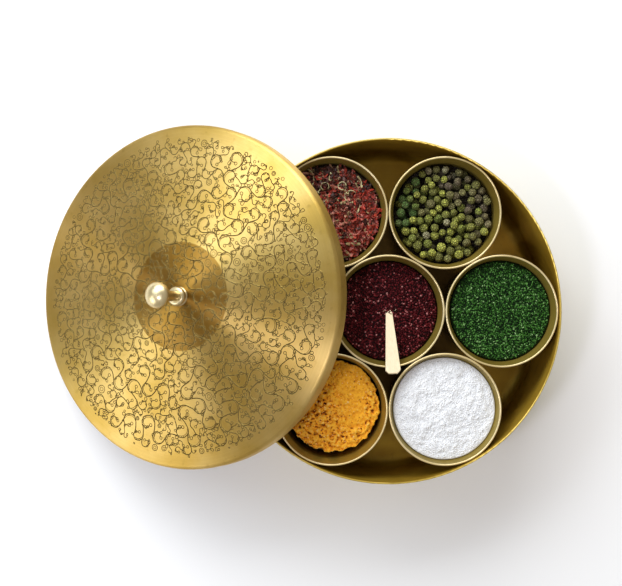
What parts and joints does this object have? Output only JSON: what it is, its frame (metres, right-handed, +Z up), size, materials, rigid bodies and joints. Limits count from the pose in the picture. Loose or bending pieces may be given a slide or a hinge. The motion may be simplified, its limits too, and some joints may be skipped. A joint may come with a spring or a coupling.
{
  "type": "spice box",
  "caption": "Round brass spice box with loose cups of spices, a wooden spoon and an engraved cap lid with a knob, leaning on the rim.",
  "frame": {"origin": "centre of the box's flat underside, on the surface it stands on", "axes": "+Z up along the box's axis, +X from the leaning lid towards the box, +Y to the back"},
  "size_m": [0.3263, 0.22, 0.1003],
  "materials": {
    "box_brass": "spun brass, browned inside",
    "lid_brass": "spun brass with dark engraved scrolls",
    "knob_brass": "polished turned brass",
    "cup_brass": "spun brass",
    "steel": "plain steel fastener",
    "sumac": null,
    "green_herb": null,
    "peppercorns": null,
    "chilli_shreds": null,
    "cumin_seeds": null,
    "turmeric": null,
    "salt": null,
    "spoon_wood": "pale unvarnished wood"
  },
  "bodies": {
    "box": {"box_body": "box_brass"},
    "lid": {"lid_cover": "lid_brass", "lid_knob": "knob_brass", "knob_collar": "knob_brass", "knob_washer": "steel", "knob_screw": "steel"},
    "centre_cup": {"cup_centre": "cup_brass", "sumac": "sumac"},
    "right_cup": {"cup_right": "cup_brass", "green_herb": "green_herb"},
    "upper_right_cup": {"cup_upper_right": "cup_brass", "peppercorns": "peppercorns"},
    "upper_left_cup": {"cup_upper_left": "cup_brass", "chilli_shreds": "chilli_shreds"},
    "left_cup": {"cup_left": "cup_brass", "cumin_seeds": "cumin_seeds"},
    "lower_left_cup": {"cup_lower_left": "cup_brass", "turmeric": "turmeric"},
    "lower_right_cup": {"cup_lower_right": "cup_brass", "salt": "salt"},
    "spoon": {"spoon": "spoon_wood"}
  },
  "joints": [
    {"name": "lid_lift", "type": "slide", "parent": "box", "child": "lid", "axis": [0, 0, 1], "range_m": [0, 0.16]},
    {"name": "centre_cup_lift", "type": "slide", "parent": "box", "child": "centre_cup", "axis": [0, 0, 1], "range_m": [0, 0.08]},
    {"name": "right_cup_lift", "type": "slide", "parent": "box", "child": "right_cup", "axis": [0, 0, 1], "range_m": [0, 0.08]},
    {"name": "upper_right_cup_lift", "type": "slide", "parent": "box", "child": "upper_right_cup", "axis": [0, 0, 1], "range_m": [0, 0.08]},
    {"name": "upper_left_cup_lift", "type": "slide", "parent": "box", "child": "upper_left_cup", "axis": [0, 0, 1], "range_m": [0, 0.08]},
    {"name": "left_cup_lift", "type": "slide", "parent": "box", "child": "left_cup", "axis": [0, 0, 1], "range_m": [0, 0.08]},
    {"name": "lower_left_cup_lift", "type": "slide", "parent": "box", "child": "lower_left_cup", "axis": [0, 0, 1], "range_m": [0, 0.08]},
    {"name": "lower_right_cup_lift", "type": "slide", "parent": "box", "child": "lower_right_cup", "axis": [0, 0, 1], "range_m": [0, 0.08]},
    {"name": "spoon_lift", "type": "slide", "parent": "centre_cup", "child": "spoon", "axis": [0, 0, 1], "range_m": [0, 0.06]}
  ],
  "couplings": [
    {"joint": "centre_cup_lift", "follows": "lid_lift", "ratio": 0.5},
    {"joint": "upper_left_cup_lift", "follows": "lid_lift", "ratio": 0.5},
    {"joint": "left_cup_lift", "follows": "lid_lift", "ratio": 0.5},
    {"joint": "lower_left_cup_lift", "follows": "lid_lift", "ratio": 0.5}
  ]
}
